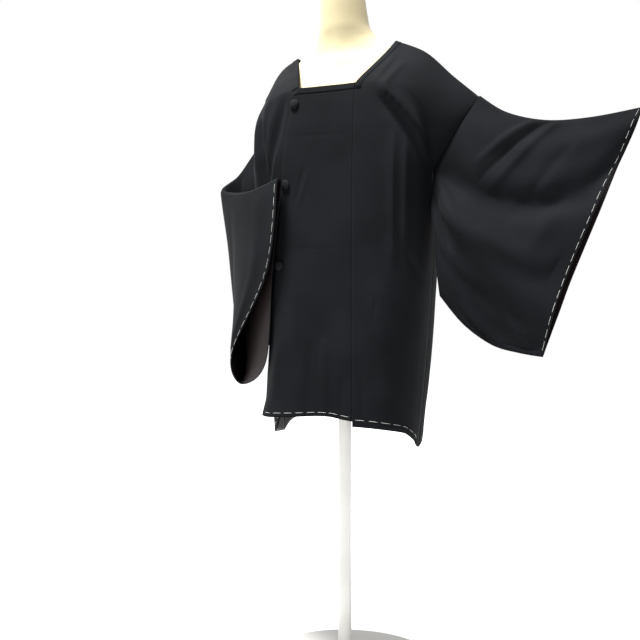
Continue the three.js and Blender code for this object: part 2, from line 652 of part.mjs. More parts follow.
const formHeights = FORM_RINGS.map((ring) => ring.z);
addMesh('form_torso', solidFromRings(formHeights.map(formRing)), CREAM_JERSEY);

const poleTop = formHeights[0] - SEAM;
const poleHeight = poleTop - PLATE_HEIGHT - SEAM;
const poleTube = new THREE.CylinderGeometry(POLE_RADIUS, POLE_RADIUS, poleHeight, 24);
const pole = addMesh('stand_pole', poleTube, PALE_PAINT);
pole.rotation.x = Math.PI / 2;
pole.position.z = PLATE_HEIGHT + SEAM + poleHeight / 2;

const plateProfile = [
  [0, 0],
  [PLATE_RADIUS, 0],
  [PLATE_RADIUS, PLATE_HEIGHT - 5],
  [PLATE_RADIUS - 5, PLATE_HEIGHT],
  [0, PLATE_HEIGHT],
].map(([radius, height]) => new THREE.Vector2(radius, height));
const plate = addMesh('stand_plate', new THREE.LatheGeometry(plateProfile, 40), PALE_PAINT);
plate.rotation.x = Math.PI / 2;

export default coat;
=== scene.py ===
# %% [markdown]
# # A michiyuki coat on a dress form
# The coat is black silk crepe: two body lengths that hang over the shoulders, two overlap panels that
# cross in front, a narrow band round the square neckline, three covered buttons and two deep sleeves.
# Tables below are in millimetres, like a pattern cutter's notes; meshes are made in metres.

# %% Load the frame
import math
import random

import bmesh
import bpy
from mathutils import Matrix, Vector


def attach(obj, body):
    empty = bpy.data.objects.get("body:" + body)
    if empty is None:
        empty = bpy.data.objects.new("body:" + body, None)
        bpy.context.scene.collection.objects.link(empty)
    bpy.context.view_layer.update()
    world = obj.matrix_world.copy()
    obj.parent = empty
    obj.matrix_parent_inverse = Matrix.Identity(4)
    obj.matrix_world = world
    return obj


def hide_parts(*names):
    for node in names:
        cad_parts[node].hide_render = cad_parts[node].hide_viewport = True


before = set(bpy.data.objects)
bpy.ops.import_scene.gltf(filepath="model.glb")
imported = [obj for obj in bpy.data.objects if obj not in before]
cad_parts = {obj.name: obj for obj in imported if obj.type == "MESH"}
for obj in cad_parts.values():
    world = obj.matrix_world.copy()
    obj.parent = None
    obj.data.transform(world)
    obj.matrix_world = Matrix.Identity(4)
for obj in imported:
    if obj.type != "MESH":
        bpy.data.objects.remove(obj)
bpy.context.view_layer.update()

MM = 0.001
random.seed(7)
print("frame nodes:", len(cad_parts))

# %% [markdown]
# ## The camera
# It stands two metres from the pole's axis, a little to the wearer's left, about a hand's width above
# the sleeves' lower corners. It is moved five centimetres sideways, so the coat sits right of the middle.
# A camera aimed at the coat's middle would be simpler, but it would turn the coat; moving it
# sideways keeps the turn and the framing apart.

# %% Place the camera
VIEW_TURN = math.radians(22)
VIEW_DISTANCE = 2.0
VIEW_SIDE = -0.053
VIEW_HEIGHT = 0.736
LENS = 52.9

def put_in_scene(name, data):
    thing = bpy.data.objects.new(name, data)
    bpy.context.scene.collection.objects.link(thing)
    return thing

def make_camera():
    camera = put_in_scene("camera", bpy.data.cameras.new("camera"))
    camera.data.lens = LENS
    along = Vector((math.cos(VIEW_TURN), math.sin(VIEW_TURN), 0))
    ahead = Vector((-math.sin(VIEW_TURN), math.cos(VIEW_TURN), 0))
    camera.location = along * VIEW_SIDE - ahead * VIEW_DISTANCE + Vector((0, 0, VIEW_HEIGHT))
    camera.rotation_euler = (math.pi / 2, 0, VIEW_TURN)
    bpy.context.scene.camera = camera
    return camera

camera = make_camera()
print("camera at", [round(c, 3) for c in camera.location])

# %% [markdown]
# ## The pattern's sizes
# These are the same tables as the construction model uses, so every piece lands on its own solid.
# SECTIONS gives the worn body's reach at each height; the ridge tables follow the shoulder fold from
# the neck to the sleeve seam.

# %% Pattern tables of the body
CLOTH = 2.0
SEAM = 0.3
ARMHOLE_SEAM = 0.6
UNDERLAP = 3.2
NECK_Z = 1211
FRONT_SEAM_X = 62
SQUARENESS = 2.8
BAND = 13
BAND_CLOTH = 0.9
BAND_INSET = 0.8

SECTIONS = [
    dict(z=440, left=160, right=140, front=127, back=112, side=0),
    dict(z=600, left=174, right=150, front=130, back=118, side=0),
    dict(z=780, left=190, right=163, front=131, back=126, side=-6),
    dict(z=897, left=199, right=175, front=130, back=134, side=-18),
    dict(z=1040, left=203, right=184, front=126, back=138, side=-30),
    dict(z=1140, left=210, right=190, front=120, back=128, side=-24),
    dict(z=1211, left=214, right=192, front=107, back=114, side=-12),
    dict(z=1340, left=218, right=192, front=66, back=84, side=-5),
]
LEFT = dict(
    sign=1, arm_drop=145, puff=13, reach="left",
    ridge=[
        dict(at=0, x=112, y=2, z=1318),
        dict(at=0.38, x=181, y=-13, z=1283),
        dict(at=0.7, x=241, y=-22, z=1226),
        dict(at=1, x=294, y=-28, z=1179),
    ],
    hem=[
        dict(x=62, z=524),
        dict(x=95, z=519),
        dict(x=135, z=509),
        dict(x=158, z=492),
        dict(x=170, z=474),
    ],
)
RIGHT = dict(
    sign=-1, arm_drop=215, puff=9, reach="right",
    ridge=[
        dict(at=0, x=108, y=1, z=1303),
        dict(at=0.2, x=141, y=-5, z=1281),
        dict(at=0.42, x=164, y=-10, z=1247),
        dict(at=0.68, x=181, y=-15, z=1192),
        dict(at=1, x=193, y=-19, z=1112),
    ],
    hem=[
        dict(x=62, z=550),
        dict(x=80, z=547),
        dict(x=94, z=514),
        dict(x=106, z=502),
        dict(x=141, z=496),
    ],
)
YOKE = 0.24
YOKE_ROWS = 10 / 22
BACK_NECK_DROP = 24
BACK_HEM_Z = 522
BACK_HEM_FALL = dict(left=2, right=9)
OVERLAP_HEM = [
    dict(x=-130, z=548),
    dict(x=-95, z=541),
    dict(x=-50, z=541),
    dict(x=20, z=543),
    dict(x=62, z=535),
]
CROSSING_EDGE = [
    dict(z=541, x=-138, y=-118),
    dict(z=575, x=-131, y=-115),
    dict(z=645, x=-127, y=-113),
    dict(z=775, x=-116, y=-117),
    dict(z=905, x=-102, y=-120),
    dict(z=1025, x=-92, y=-123),
    dict(z=1130, x=-82, y=-120),
    dict(z=1168, x=-75, y=-115),
    dict(z=1190, x=-79, y=-110),
    dict(z=1211, x=-70, y=-106),
]
PANEL_FOOT_Z = CROSSING_EDGE[0]["z"]
PANEL_SAG = 1.5
PANEL_CORNER_DROP = 9
PANEL_REACH_X = -100
HIDDEN_FOOT_Z = 550
HIDDEN_INSET = 14
BUTTON_HEIGHTS = (1178, 1013, 849)
BUTTON_PLACE = 0.93
BUTTON_RADIUS = 10
BUTTON_HEIGHT = 7
BUTTON_STANDOFF = 0.6
print("tables:", len(SECTIONS), "sections,", len(CROSSING_EDGE), "edge rows")

# %% [markdown]
# ## Folds and creases
# Cloth could be dropped on the form by simulation, but its folds fall where they will. Placed one by
# one, each fold lands where the photograph shows it. Broad folds are shared with the construction
# model. The creases are finer: each runs from one place to another on a panel, stands up (or sinks,
# when negative) by its height, and fades at both ends.
# On the body a place is (x, z); on a sleeve it is millimetres out from the armhole and millimetres
# down from the shoulder fold, past the bottom fold and up the back. A crease's row holds its start,
# its end, its height and its width.

# %% Tables of folds and creases
BODY_FOLDS = [
    dict(side=1, x=141, top=1100, low=845, height=5, width=11),
    dict(side=1, x=164, top=1090, low=880, height=4, width=9),
    dict(side=1, x=120, top=820, low=540, height=4, width=22),
    dict(side=-1, x=118, top=1175, low=1035, height=7, width=12),
    dict(side=-1, x=158, top=1190, low=1040, height=8, width=13),
]
OVERHANG = [
    dict(x=84, z=1212),
    dict(x=125, z=1178),
    dict(x=155, z=1144),
    dict(x=178, z=1106),
    dict(x=206, z=1046),
]
OVERHANG_HEIGHT = 14
OVERHANG_REACH = 62
OVERHANG_LIP = dict(under=-9, over=7)
OVERHANG_SPAN = dict(start=92, full=128, fading=176, end=206)
OVERHANG_TUCK = dict(below=17, depth=5, width=13)
FOLD_FADE = 40
FOLD_TOP_FADE = 30
SIDE_PART = 5

def creases(rows):
    return [dict(start=start, end=end, height=height, width=width) for start, end, height, width in rows]

FRONT_CREASES = creases([
    ((140, 1096), (139, 850), 1.6, 3),
    ((163, 1088), (160, 885), 1.6, 3),
    ((164, 868), (192, 806), -3.2, 5),
    ((176, 872), (194, 828), 2.4, 5),
    ((112, 780), (104, 742), -1.8, 4),
    ((78, 640), (82, 530), -2.0, 9),
    ((128, 660), (140, 515), 2.4, 13),
    ((176, 760), (164, 520), -2.4, 12),
    ((70, 1112), (180, 1104), -0.5, 3),
    ((70, 884), (180, 876), -0.5, 3),
    ((120, 1300), (108, 1212), 2.0, 7),
    ((150, 1262), (118, 1196), 3.4, 8),
    ((132, 1272), (104, 1190), -3.2, 7),
])
RIGHT_CREASES = creases([
    ((94, 1196), (136, 996), -11, 9),
    ((160, 1206), (138, 996), -11, 8),
    ((128, 1220), (150, 1060), 5, 8),
    ((172, 1216), (182, 1060), -4, 6),
])
BACK_CREASES = creases([
    ((40, 1080), (56, 600), 2.0, 16),
    ((96, 1150), (112, 560), 3.4, 15),
    ((130, 1120), (150, 620), -3.0, 13),
    ((168, 1060), (172, 560), 3.0, 12),
    ((20, 1190), (150, 1150), -1.6, 10),
    ((20, 1236), (120, 1262), 1.6, 9),
    ((70, 640), (78, 505), -2.4, 12),
])
PANEL_CREASES = creases([
    ((-40, 1048), (-64, 960), -1.8, 5),
    ((-30, 1040), (-52, 968), 1.2, 6),
    ((4, 700), (4, 545), 3.4, 9),
    ((-26, 690), (-30, 545), -2.2, 9),
    ((40, 620), (42, 540), -2.0, 8),
    ((-96, 700), (-110, 545), 3.6, 12),
    ((-80, 1108), (60, 1108), -0.7, 2.6),
    ((-100, 880), (60, 878), -0.7, 2.6),
    ((-60, 800), (-66, 640), 1.4, 12),
    ((20, 1190), (36, 1060), 1.0, 10),
])
LEFT_SLEEVE_CREASES = creases([
    ((150, 14), (70, 118), 6, 8),
    ((172, 16), (88, 140), -6, 8),
    ((196, 18), (110, 158), 4.5, 9),
    ((12, 200), (56, 300), -6, 9),
    ((14, 160), (84, 250), 5.5, 10),
    ((8, 244), (70, 392), 6, 11),
    ((20, 150), (330, 170), -15, 26),
    ((30, 214), (300, 282), 14, 24),
    ((250, 60), (180, 190), -3, 14),
    ((318, 70), (240, 260), 3, 18),
    ((30, 330), (280, 400), -6, 20),
    ((150, 350), (300, 440), 4, 12),
    ((200, 452), (320, 458), -3, 7),
    ((60, 420), (170, 468), -4, 9),
    ((60, 940), (180, 760), 5, 14),
    ((110, 960), (260, 800), -5, 14),
    ((40, 800), (150, 600), 5, 16),
    ((190, 700), (310, 560), -4, 14),
])
RIGHT_SLEEVE_CREASES = creases([
    ((60, 20), (90, 170), -3.5, 9),
    ((116, 20), (110, 240), 4.0, 10),
    ((150, 10), (160, 260), -3.0, 12),
    ((200, 14), (212, 200), 2.6, 12),
    ((262, 18), (230, 230), -2.6, 12),
    ((130, 300), (170, 440), 2.6, 11),
    ((80, 900), (120, 640), 3.2, 14),
    ((200, 930), (210, 620), -3.2, 14),
    ((290, 940), (300, 640), 3.0, 12),
])
print("creases:", sum(map(len, (FRONT_CREASES, RIGHT_CREASES, BACK_CREASES, PANEL_CREASES,
                                 LEFT_SLEEVE_CREASES, RIGHT_SLEEVE_CREASES))))

# %% [markdown]
# ## Sleeves
# A sleeve is one folded length, so each station is a closed ring of six points: the shoulder fold,
# two on the front layer, the bottom fold, and two on the back layer. The left sleeve is spread and
# sags. The right one hangs down and turns forward, so past its turn the back layer faces outward and
# its cuff's top corner comes to rest at the front closure. A ring of six points is enough because
# a smooth curve runs through them. The swell column swings the bag out backwards: without it the
# sleeve would hold only about half of the cloth that it was cut from.

# %% Sleeve tables
LEFT_SLEEVE = [
    dict(at=0, top=(294, -28, 1179), front=(204, -36, 1034), outer=(213, -66, 900),
         low=(222, -52, 785), inner=(214, -34, 900), back=(204, -24, 1034)),
    dict(at=0.22, top=(350, -43, 1139), front=(278, -80, 985), outer=(268, -88, 832),
         low=(272, -64, 729), inner=(270, -40, 838), back=(276, -34, 985)),
    dict(at=0.48, top=(427, -54, 1115), front=(362, -92, 960), outer=(338, -104, 800),
         low=(330, -78, 690), inner=(340, -52, 800), back=(366, -44, 960)),
    dict(at=0.74, top=(512, -63, 1112), front=(440, -102, 955), outer=(398, -114, 792),
         low=(382, -92, 676), inner=(400, -66, 792), back=(442, -54, 955)),
    dict(at=1, top=(604, -68, 1122), front=(533, -98, 958), outer=(468, -114, 795),
         low=(430, -104, 669), inner=(472, -80, 795), back=(536, -62, 958)),
]
RIGHT_SLEEVE = [
    dict(at=0, swell=0, top=(-193, -19, 1112), front=(-177, -28, 896), outer=(-182, -42, 765),
         low=(-184, -12, 660), inner=(-181, 6, 765), back=(-177, -16, 896)),
    dict(at=0.2, swell=34, top=(-238, -24, 1056), front=(-208, -40, 890), outer=(-206, -44, 755),
         low=(-204, -14, 636), inner=(-202, 4, 760), back=(-204, -8, 890)),
    dict(at=0.38, swell=50, top=(-272, -42, 1025), front=(-224, -54, 862), outer=(-216, -54, 730),
         low=(-224, -8, 622), inner=(-237, -24, 732), back=(-250, -38, 856)),
    dict(at=0.58, swell=34, top=(-232, -68, 1010), front=(-202, -70, 856), outer=(-204, -66, 700),
         low=(-231, -24, 612), inner=(-237, -50, 706), back=(-232, -78, 850)),
    dict(at=0.78, swell=0, top=(-172, -98, 1006), front=(-168, -92, 850), outer=(-172, -86, 672),
         low=(-229, -38, 604), inner=(-235, -66, 690), back=(-184, -108, 846)),
    dict(at=1, swell=0, top=(-86, -146, 1022), front=(-108, -135, 840), outer=(-128, -125, 650),
         low=(-220, -52, 599), inner=(-228, -78, 664), back=(-111, -149, 836)),
]
SLEEVE_WIDTH = 340
SLEEVE_DEPTH = 490
SLEEVE_CLEARANCE = 4.2
SWELL_WAY = Vector((-0.375, 0.927, 0))
TOP_SWELL = 0.4
LOW_SWELL = 1.2
FOLD_DENSITY = 0.6
FOLD_RADIUS = 5
SWAGS = [
    dict(start=0.13, middle=0.19, end=0.11, across=0.032, height=-13),
    dict(start=0.18, middle=0.3, end=0.38, across=0.034, height=9),
    dict(start=0.32, middle=0.42, end=0.46, across=0.026, height=-5),
    dict(start=0.04, middle=0.08, end=0.05, across=0.022, height=5),
]
print("sleeve stations:", len(LEFT_SLEEVE), len(RIGHT_SLEEVE))

# %% [markdown]
# ## Small tools for smooth tables
# `read` looks a value up between a table's rows along a Catmull-Rom curve, so ten short rows can
# describe a flowing edge. Curve objects would do the same, but tables are easier to read and change.

# %% Reading a table smoothly
def mix(a, b, t):
    return a + (b - a) * t

def clamp01(t):
    return min(1.0, max(0.0, t))

def smooth(start, stop, value):
    t = clamp01((value - start) / (stop - start))
    return t * t * (3 - 2 * t)

def cubic(a, b, c, d, t):
    slope_in = (c - a) / 2
    slope_out = (d - b) / 2
    t2 = t * t
    t3 = t2 * t
    ends = (2 * t3 - 3 * t2 + 1) * b + (3 * t2 - 2 * t3) * c
    return ends + (t3 - 2 * t2 + t) * slope_in + (t3 - t2) * slope_out

def read(table, key, at, column):
    last = len(table) - 1
    place = min(table[last][key], max(table[0][key], at))
    i = 0
    while i < last - 1 and place > table[i + 1][key]:
        i += 1
    t = (place - table[i][key]) / (table[i + 1][key] - table[i][key])
    rows = [table[min(last, max(0, j))][column] for j in (i - 1, i, i + 1, i + 2)]
    if isinstance(rows[0], tuple):
        return Vector([cubic(*(row[c] for row in rows), t) for c in range(3)])
    return cubic(*rows, t)

def crease_height(creases, a, b):
    height = 0.0
    for crease in creases:
        (a0, b0), (a1, b1) = crease["start"], crease["end"]
        length = (a1 - a0) ** 2 + (b1 - b0) ** 2
        along = clamp01(((a - a0) * (a1 - a0) + (b - b0) * (b1 - b0)) / length)
        away = (a - a0 - along * (a1 - a0)) ** 2 + (b - b0 - along * (b1 - b0)) ** 2
        spread = away / crease["width"] ** 2
        if spread < 9:
            height += crease["height"] * math.exp(-spread) * math.sin(math.pi * along) ** 0.6
    return height

print("middle of the neckline sits at y =", round(-read(SECTIONS, "z", NECK_Z, "front")), "mm")

# %% [markdown]
# ## Where the body cloth lies
# A flat panel could be bent with a lattice, but then its seams would have to be found again. Worked
# out point by point, they stay where they are. `section_point` walks round the worn section;
# `body_point` hangs a panel's column over the shoulder fold and down to the hem, and adds its folds
# and creases.

# %% Where the body cloth lies
def section_point(side, z, turn, face):
    wide = read(SECTIONS, "z", z, side["reach"])
    side_y = read(SECTIONS, "z", z, "side")
    deep = read(SECTIONS, "z", z, "front" if face < 0 else "back")
    x = side["sign"] * wide * math.sin(turn) ** (2 / SQUARENESS)
    y = side_y + (face * deep - side_y) * max(0.0, math.cos(turn)) ** (2 / SQUARENESS)
    return Vector((x, y, z))

def turn_at(side, z, x):
    wide = read(SECTIONS, "z", z, side["reach"])
    return math.asin(clamp01(abs(x) / wide) ** (SQUARENESS / 2))

def fold_height(side, x, z):
    height = 0.0
    for fold in BODY_FOLDS:
        if fold["side"] != side["sign"]:
            continue
        across = (abs(x) - fold["x"]) / fold["width"]
        upper = 1 - smooth(fold["top"] - FOLD_FADE, fold["top"] + FOLD_TOP_FADE, z)
        along = smooth(fold["low"] - FOLD_FADE, fold["low"] + FOLD_FADE, z) * upper
        height += fold["height"] * math.exp(-across * across) * along
    if side["sign"] > 0:
        above = z - read(OVERHANG, "x", x, "z")
        span, lip, tuck = OVERHANG_SPAN, OVERHANG_LIP, OVERHANG_TUCK
        along = smooth(span["start"], span["full"], x) * (1 - smooth(span["fading"], span["end"], x))
        rise = smooth(lip["under"], lip["over"], above)
        rise *= 1 - smooth(lip["over"], OVERHANG_REACH, above)
        sunk = math.exp(-((above + tuck["below"]) / tuck["width"]) ** 2)
        height += (OVERHANG_HEIGHT * rise - tuck["depth"] * sunk) * along
    return height

def body_point(side, u, k, face, fine=True):
    ridge = Vector([read(side["ridge"], "at", u, c) for c in "xyz"])
    ridge.x *= side["sign"]
    neck_drop = ridge.z - NECK_Z if face < 0 else BACK_NECK_DROP
    bend = u ** 1.5 if face < 0 else smooth(0, 1, u)
    yoke_z = ridge.z - mix(neck_drop, side["arm_drop"], bend)
    hem = side["hem"]
    front_hem = read(hem, "x", mix(FRONT_SEAM_X, hem[-1]["x"], u), "z")
    hem_z = front_hem if face < 0 else mix(BACK_HEM_Z, hem[-1]["z"], u ** BACK_HEM_FALL[side["reach"]])
    in_yoke = clamp01(k / YOKE)
    z = mix(ridge.z, yoke_z, in_yoke) if k < YOKE else mix(yoke_z, hem_z, (k - YOKE) / (1 - YOKE))
    inner_turn = turn_at(side, z, FRONT_SEAM_X) if face < 0 else 0.0
    turn = mix(inner_turn, math.pi / 2, u)
    below = section_point(side, z, turn, face)
    rounded = math.sqrt(1 - (1 - in_yoke) ** 2)
    late = 1 - math.sqrt(1 - in_yoke ** 2)
    spread = 1 - (1 - u) ** 2
    go_x = in_yoke if face < 0 else mix(late, in_yoke, spread)
    power = mix(1.2, 1.5, smooth(0, 0.3, u))
    go_y = 1 - (1 - in_yoke) ** power if face < 0 else mix(rounded, in_yoke, spread)
    puff = face * side["puff"] * math.sin(math.pi * in_yoke) * smooth(0.35, 1, u)
    part = face * SIDE_PART * smooth(YOKE + 0.06, YOKE, k) * in_yoke * smooth(0.6, 1, u)
    point = Vector((mix(ridge.x, below.x, go_x), mix(ridge.y, below.y, go_y) + puff + part, z))
    stand = fold_height(side, abs(point.x), z) * smooth(0, 0.5, in_yoke) if face < 0 else 0.0
    if fine:
        creases = BACK_CREASES if face > 0 else FRONT_CREASES if side["sign"] > 0 else RIGHT_CREASES
        calm = smooth(0, 0.12, u) * smooth(1, 0.9, u) * smooth(0, 0.3, in_yoke)
        stand += crease_height(creases, abs(point.x), z) * calm
    point.x += side["sign"] * stand * math.sin(turn)
    point.y += face * stand * math.sqrt(max(0.0, math.cos(turn)))
    return point

def body_surface(side, t, u):
    face = -1 if t < 0 else 1
    share = abs(t) / YOKE_ROWS
    k = share ** 1.25 * YOKE if share < 1 else mix(YOKE, 1, (abs(t) - YOKE_ROWS) / (1 - YOKE_ROWS))
    point = body_point(side, u, k, face)
    outer = smooth(0.98, 1, u) * smooth(YOKE, YOKE + 0.02, k) * SEAM / 2
    point.y += face * outer
    if face < 0 and side["sign"] < 0:
        depth = (1 - smooth(0.45, 0.95, u)) * smooth(YOKE * 0.5, YOKE * 0.9, k)
        point.y += UNDERLAP * depth
    return point

def overlap_point(u, v):
    top_z = NECK_Z - PANEL_SAG * math.sin(math.pi * u) - PANEL_CORNER_DROP * smooth(0.9, 1, u)
    foot_z = read(OVERLAP_HEM, "x", mix(FRONT_SEAM_X, PANEL_REACH_X, u), "z")
    z = mix(top_z, foot_z, v)
    edge_x = read(CROSSING_EDGE, "z", z, "x")
    x = mix(FRONT_SEAM_X, edge_x, u)
    side = LEFT if x > 0 else RIGHT
    point = section_point(side, z, turn_at(side, z, x), -1)
    point.x = x
    edge_body = section_point(RIGHT, z, turn_at(RIGHT, z, edge_x), -1)
    point.y += (read(CROSSING_EDGE, "z", z, "y") - edge_body.y) * smooth(0.3, 1, u)
    point.y -= crease_height(PANEL_CREASES, x, z) * smooth(0, 0.06, u)
    return point

def underlap_point(u, v):
    z = mix(NECK_Z, HIDDEN_FOOT_Z, v)
    x = mix(SEAM - FRONT_SEAM_X, FRONT_SEAM_X - HIDDEN_INSET, u)
    side = LEFT if x > 0 else RIGHT
    point = section_point(side, z, turn_at(side, z, x), -1)
    point.x = x
    point.y += UNDERLAP
    return point

print("left armpit at", [round(c) for c in body_point(LEFT, 1, YOKE, -1)])

# %% [markdown]
# ## Where the sleeve cloth lies
# The first rings are drawn onto the body's own edge down to the armpit, a seam's width away. They
# could be joined to it by a boolean, but a sewn armhole is two edges side by side, and so is this.

# %% Where the sleeve cloth lies
RING = ("top", "front", "outer", "low", "inner", "back")

def closed_ring(points, round_):
    place = round_ * len(points)
    i = int(place) % len(points)
    t = place - int(place)
    four = [points[(i + j) % len(points)] for j in (-1, 0, 1, 2)]
    return cubic(*four, t)

def swag_height(at, round_):
    height = 0.0
    for swag in SWAGS:
        straight = mix(swag["start"], swag["end"], at)
        sag = (swag["middle"] - (swag["start"] + swag["end"]) / 2) * 4 * at * (1 - at)
        across = (round_ - straight - sag) / swag["across"]
        height += swag["height"] * math.exp(-across * across)
    return height * smooth(0, 0.2, at) * smooth(0, 0.04, round_) * smooth(0.5, 0.44, round_)

def fold_opening(front, back, at, round_):
    across = Vector((front.x - back.x, front.y - back.y, 0)).normalized()
    near = min(round_, 1 - round_)
    opened = smooth(0, 0.02, near) * (1 - smooth(0.03, 0.14, near)) * smooth(0.2, 0.35, at)
    return across * FOLD_RADIUS * opened * (1 if round_ < 0.5 else -1)

def round_share(side, j, count):
    share = j / count
    closer = FOLD_DENSITY * math.sin(4 * math.pi * share) / (4 * math.pi)
    return share - closer if side["sign"] < 0 else share

def sleeve_ring(table, side, at, count):
    ring = [read(table, "at", at, column) for column in RING]
    first = [read(table, "at", 0, column) for column in RING]
    line = []
    for j in range(count):
        round_ = round_share(side, j, count)
        point = closed_ring(ring, round_)
        face = -1 if round_ < 0.5 else 1
        armhole = min(round_, 1 - round_) * 6
        if armhole <= 1:
            edge = body_point(side, 1, YOKE * armhole, face, fine=False)
            edge.x += side["sign"] * ARMHOLE_SEAM
            edge.y += face * 0.4
            point += (edge - closed_ring(first, round_)) * (1 - smooth(0, 0.3, at))
        elif at < 0.3:
            wide = read(SECTIONS, "z", point.z, side["reach"]) + SLEEVE_CLEARANCE
            point.x = side["sign"] * max(side["sign"] * point.x, wide)
        if side["sign"] < 0:
            swell = read(table, "at", at, "swell") * smooth(0.04, 0.24, at)
            point += SWELL_WAY * swell * (TOP_SWELL + LOW_SWELL * math.sin(math.pi * round_))
            point += fold_opening(ring[1], ring[5], at, round_)
        else:
            swag = swag_height(at, min(round_, 1 - round_))
            point.y += face * swag * (1 if face < 0 else 0.6)
        line.append(point)
    return line

print("left cuff tip at", [round(c) for c in LEFT_SLEEVE[-1]["top"]])

# %% [markdown]
# ## Turning a grid of points into sewn cloth
# Real cloth has a face, a lining and a soft folded edge. A plane with a solidify modifier would do,
# but it rounds nothing and leaves no control over the edge, so the two faces are made here row by row
# and joined by a narrow strip, a little rounded. The inner face gets the lining's material slot.

# %% Grids turned into sewn cloth
EDGE_ROUNDING = 0.05

def grid_of(rows, columns, place):
    return [[place(i / rows, j / columns) for j in range(columns + 1)] for i in range(rows + 1)]

def grid_normals(grid, closed):
    rows, columns = len(grid), len(grid[0])
    normals = []
    for i, line in enumerate(grid):
        above, below = grid[max(0, i - 1)], grid[min(rows - 1, i + 1)]
        normals.append([])
        for j in range(columns):
            before = (j - 1) % columns if closed else max(0, j - 1)
            after = (j + 1) % columns if closed else min(columns - 1, j + 1)
            across = line[after] - line[before]
            normals[-1].append(across.cross(below[j] - above[j]).normalized())
    return normals

def edge_loops(rows, columns, closed):
    if closed:
        return [[(i, j) for j in range(columns)] for i in (0, rows - 1)]
    loop = [(0, j) for j in range(columns)]
    loop += [(i, columns - 1) for i in range(1, rows)]
    loop += [(rows - 1, j) for j in range(columns - 2, -1, -1)]
    loop += [(i, 0) for i in range(rows - 2, 0, -1)]
    return [loop]

def inward_step(grid, i, j, closed):
    rows, columns = len(grid), len(grid[0])
    row = 1 if i == 0 else rows - 2 if i == rows - 1 else i
    column = j if closed else 1 if j == 0 else columns - 2 if j == columns - 1 else j
    return (grid[row][column] - grid[i][j]).normalized()

def cloth_shell(name, grid, outward, high, low, size, closed=False):
    rows, columns = len(grid), len(grid[0])
    normals = grid_normals(grid, closed)
    points = []
    for layer in (high, low):
        for line, line_normals in zip(grid, normals):
            points += [p + n * outward * layer for p, n in zip(line, line_normals)]
    last = columns if closed else columns - 1
    faces, inner_faces = [], []
    for i in range(rows - 1):
        for j in range(last):
            near, far = i * columns + j, i * columns + (j + 1) % columns
            quad = (near, far, far + columns, near + columns)
            faces.append(quad if outward > 0 else quad[::-1])
            inner_faces.append(tuple(index + rows * columns for index in faces[-1][::-1]))
    outer_count = len(faces)
    faces += inner_faces
    soften = EDGE_ROUNDING * (high - low)
    for loop in edge_loops(rows, columns, closed):
        middles = []
        for i, j in loop:
            outer, inner = i * columns + j, (i + rows) * columns + j
            middles.append(len(points))
            points.append((points[outer] + points[inner]) / 2)
        for i, j in loop:
            step = inward_step(grid, i, j, closed) * soften
            points[i * columns + j] = points[i * columns + j] + step
            points[(i + rows) * columns + j] = points[(i + rows) * columns + j] + step
        for n, (i, j) in enumerate(loop):
            m = (n + 1) % len(loop)
            a, b = i * columns + j, loop[m][0] * columns + loop[m][1]
            faces.append((a, middles[n], middles[m], b))
            faces.append((middles[n], a + rows * columns, b + rows * columns, middles[m]))
    mesh = bpy.data.meshes.new(name)
    mesh.from_pydata([p * MM for p in points], [], faces)
    weave = mesh.uv_layers.new(name="weave")
    across = [size[0] * j / last * MM for j in range(columns)]
    along = [size[1] * i / (rows - 1) * MM for i in range(rows)]
    places = [(across[n % columns], along[n // columns % rows]) for n in range(2 * rows * columns)]
    for loop_corner in mesh.loops:
        index = loop_corner.vertex_index
        if index < len(places):
            weave.data[loop_corner.index].uv = places[index]
    for polygon in mesh.polygons:
        polygon.use_smooth = True
        polygon.material_index = 1 if outer_count <= polygon.index < 2 * outer_count else 0
    return tidy_mesh(mesh, name)

def smooth_piece(name, points, faces):
    mesh = bpy.data.meshes.new(name)
    mesh.from_pydata(points, [], faces)
    for polygon in mesh.polygons:
        polygon.use_smooth = True
    return tidy_mesh(mesh, name)

def tidy_mesh(mesh, name):
    work = bmesh.new()
    work.from_mesh(mesh)
    bmesh.ops.recalc_face_normals(work, faces=work.faces)
    work.to_mesh(mesh)
    work.free()
    return put_in_scene(name, mesh)

print("edges are rounded by", EDGE_ROUNDING * CLOTH, "mm")

# %% [markdown]
# ## Black silk crepe
# Crepe is woven from twisted thread, so it has a pebbly face with a faint crosswise rib and almost no
# shine. A small noise gives the pebbles and a stretched one the rib; both go to bump, and a slow noise
# varies the dye. A little sheen stands for the fuzz that lightens cloth seen at a slant. A picture of
# crepe could be laid on instead, but noise has no edge and doesn't repeat.

# %% Black crepe and its lining
def add_node(material, kind, **settings):
    node = material.node_tree.nodes.new("ShaderNode" + kind)
    for socket, value in settings.items():
        node.inputs[socket].default_value = value
    return node

def colour_ramp(material, dark, light, start=0.0):
    ramp = add_node(material, "ValToRGB")
    first, second = ramp.color_ramp.elements
    first.position, first.color = start, (*dark, 1)
    second.position, second.color = 1.0, (*light, 1)
    return ramp

def give_shine(shader, roughness, specular=0.5, sheen=0.0):
    shader.inputs["Roughness"].default_value = roughness
    shader.inputs["Specular IOR Level"].default_value = specular
    shader.inputs["Sheen Weight"].default_value = sheen

